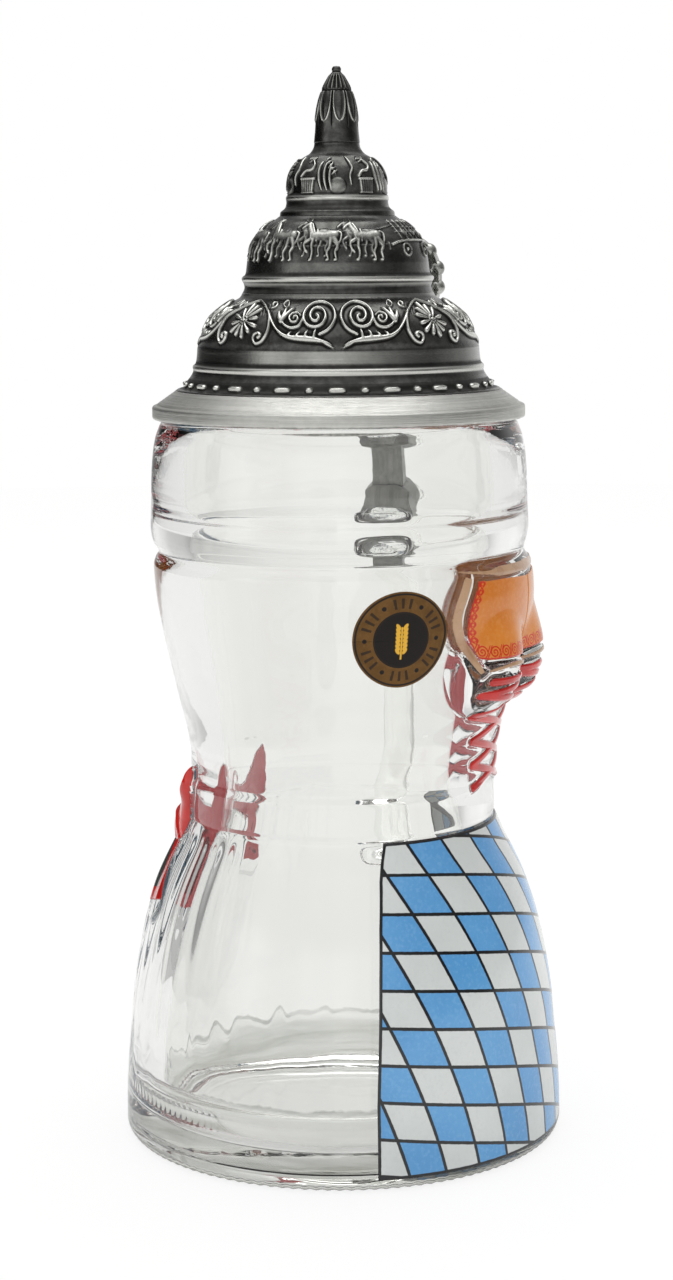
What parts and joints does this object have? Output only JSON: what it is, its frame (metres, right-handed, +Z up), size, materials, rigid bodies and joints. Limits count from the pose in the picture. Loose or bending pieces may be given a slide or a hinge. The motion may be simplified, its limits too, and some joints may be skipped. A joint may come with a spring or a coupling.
{
  "type": "lidded beer stein",
  "caption": "Waisted glass beer stein shaped as a torso and skirt, with a loop handle and a hinged stepped metal lid with finial and thumb lift.",
  "frame": {"origin": "centre of the foot, on the plane the stein stands on", "axes": "+Z up through the finial; -Y towards the figure's front with bust and apron; +X towards the handle and the lid hinge"},
  "size_m": [0.1378, 0.1056, 0.2529],
  "materials": {
    "clear_glass": "clear pressed glass, polished",
    "apron_print": "fired print, blue and grey-white lozenges with black lines",
    "bodice_print": "fired orange print with a red scroll border",
    "tan_enamel": "fired tan enamel",
    "red_enamel": "glossy fired red enamel",
    "bronze_label": "thin printed film, bronze",
    "brushed_pewter": "turned and brushed pewter",
    "antique_pewter": "cast pewter, darkened recesses and polished high spots",
    "cast_pewter": "cast pewter, satin",
    "pin_metal": "plain rod, peened ends"
  },
  "bodies": {
    "mug": {"glass_body": "clear_glass", "glass_handle": "clear_glass", "apron_decal": "apron_print", "bodice_panels": "bodice_print", "bodice_trim": "tan_enamel", "lacing_enamel": "red_enamel", "bow_enamel": "red_enamel", "round_label": "bronze_label", "hinge_strap": "cast_pewter", "hinge_pin": "pin_metal"},
    "lid": {"lid_rim": "brushed_pewter", "lid_dome": "antique_pewter", "lid_finial": "antique_pewter", "lid_tang": "cast_pewter", "thumb_lift": "cast_pewter"}
  },
  "joints": [
    {"name": "lid_hinge", "type": "hinge", "parent": "mug", "child": "lid", "pos_m": [0.0522, 0, 0.1752], "axis": [0, 1, 0], "range_deg": [0, 100]}
  ]
}
